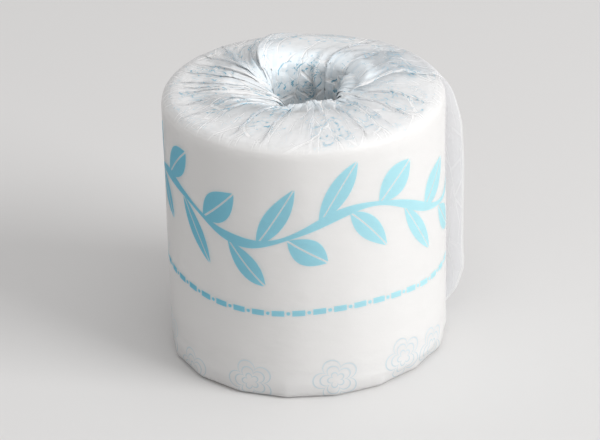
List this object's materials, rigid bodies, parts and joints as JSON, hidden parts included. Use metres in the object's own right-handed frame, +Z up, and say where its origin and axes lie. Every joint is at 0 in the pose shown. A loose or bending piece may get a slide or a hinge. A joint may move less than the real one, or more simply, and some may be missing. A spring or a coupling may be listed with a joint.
{
  "type": "wrapped toilet paper roll",
  "caption": "Single toilet roll standing on its end in a thin film wrapper, gathered and tucked into the core at both ends.",
  "frame": {"origin": "on the roll's axis, at the flat foot of the wrapper", "axes": "+Z up along the roll's axis, -Y towards the viewer's side of the picture, +X towards the wrapper's loose edge"},
  "size_m": [0.1133, 0.1046, 0.1089],
  "materials": {
    "film": "thin translucent white wrap with light blue print",
    "tissue": "soft matte tissue",
    "core_board": "spiral-wound grey-brown board"
  },
  "bodies": {
    "root": {"wrapper": "film", "tissue_roll": "tissue", "core_tube": "core_board"}
  },
  "joints": []
}
